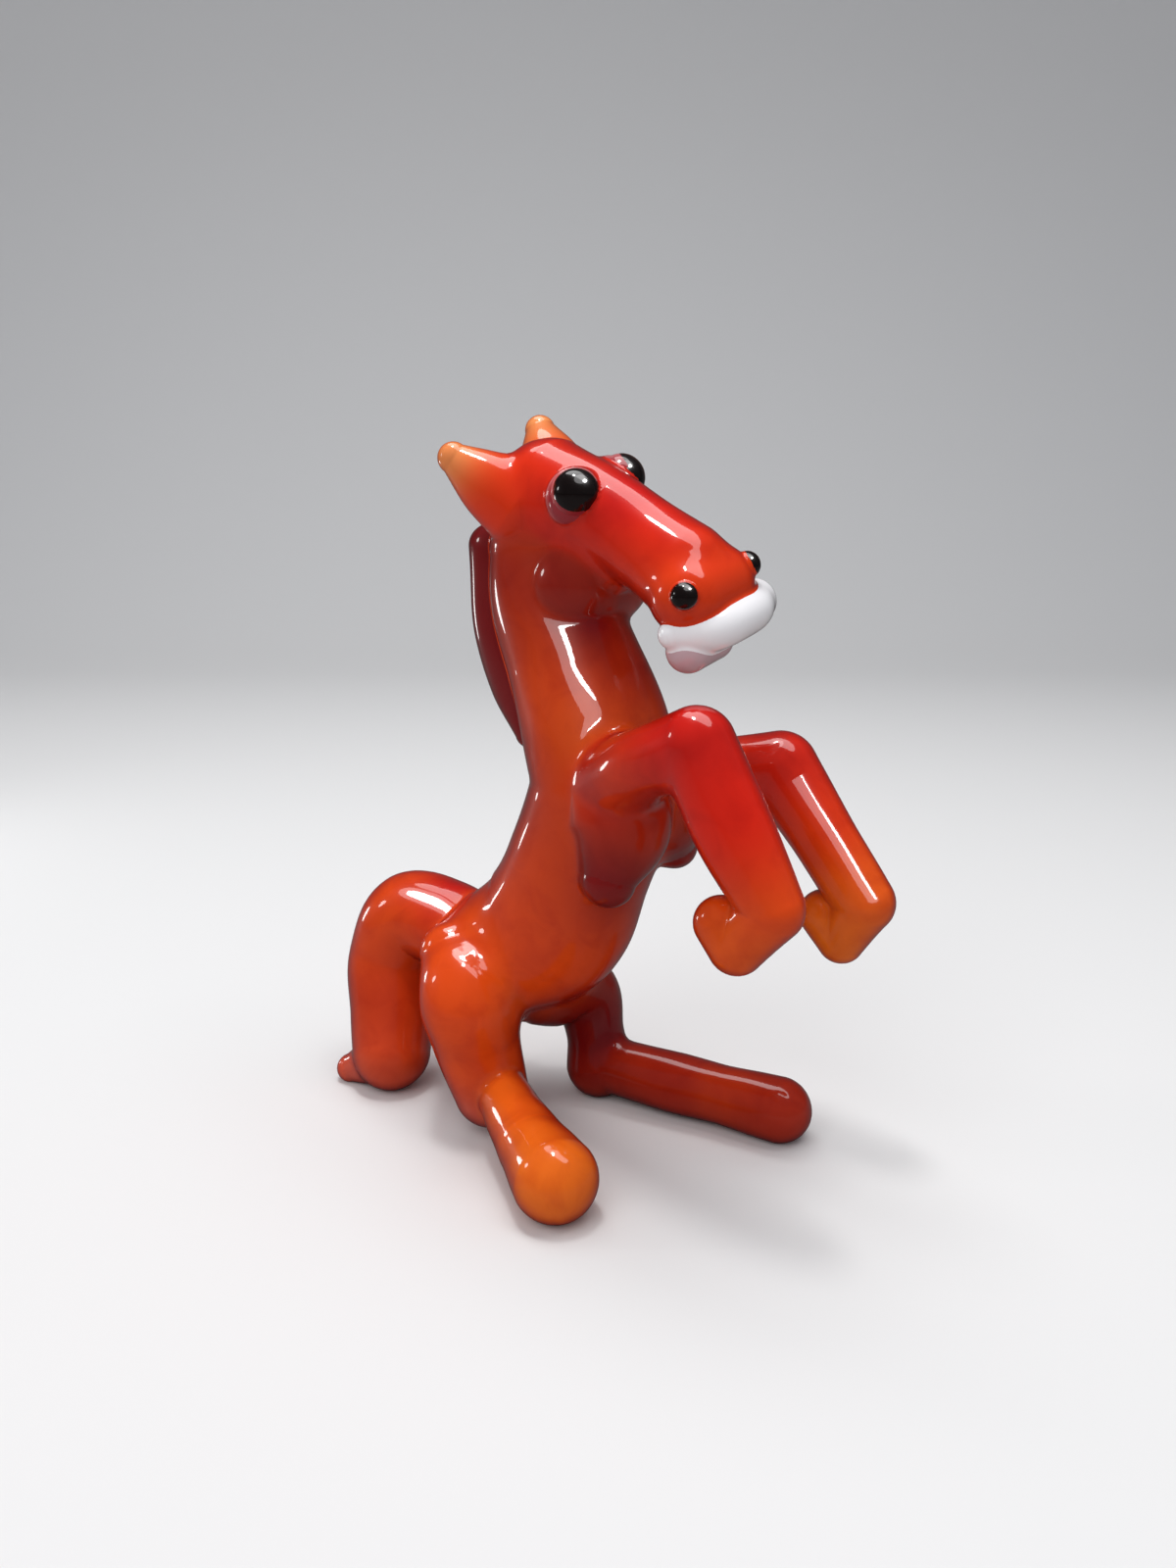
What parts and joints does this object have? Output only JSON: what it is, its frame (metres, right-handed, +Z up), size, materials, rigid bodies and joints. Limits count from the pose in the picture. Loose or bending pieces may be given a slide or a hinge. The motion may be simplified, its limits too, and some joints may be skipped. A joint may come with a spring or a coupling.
{
  "type": "horse figurine",
  "caption": "Lampworked glass horse that sits back on its bent hind legs and thick tail, with arched neck, bulging eyes and raised forelegs",
  "frame": {"origin": "middle of the figurine's bounding box, on the surface that it stands on", "axes": "+X is the way the horse faces, +Y is its left side, +Z is up"},
  "size_m": [0.0584, 0.0314, 0.0707],
  "materials": {
    "body_glass": "fire-polished opaque orange-red glass under a thin clear casing",
    "mane_glass": "fire-polished dark wine-red glass",
    "ear_glass": "fire-polished pale orange glass, slightly see-through at the rims",
    "white_glass": "fire-polished opaque white glass",
    "milk_glass": "fire-polished milky pink glass",
    "casing_glass": "fire-polished clear to pink glass over the coloured body",
    "black_glass": "fire-polished black glass with an amber tint where thin"
  },
  "bodies": {
    "root": {"torso": "body_glass", "neck": "body_glass", "head": "body_glass", "jaw": "body_glass", "muzzle": "body_glass", "thigh_right": "body_glass", "thigh_left": "body_glass", "shank_right": "body_glass", "shank_left": "body_glass", "hind_hoof_right": "body_glass", "hind_hoof_left": "body_glass", "tail": "body_glass", "upper_arm_right": "body_glass", "upper_arm_left": "body_glass", "foreleg_right": "body_glass", "foreleg_left": "body_glass", "fore_hoof_right": "body_glass", "fore_hoof_left": "body_glass", "mane": "mane_glass", "ear_right": "ear_glass", "ear_left": "ear_glass", "upper_lip": "white_glass", "lower_lip": "milk_glass", "eye_base_right": "casing_glass", "eye_base_left": "casing_glass", "pupil_right": "black_glass", "pupil_left": "black_glass", "nostril_right": "black_glass", "nostril_left": "black_glass"}
  },
  "joints": []
}
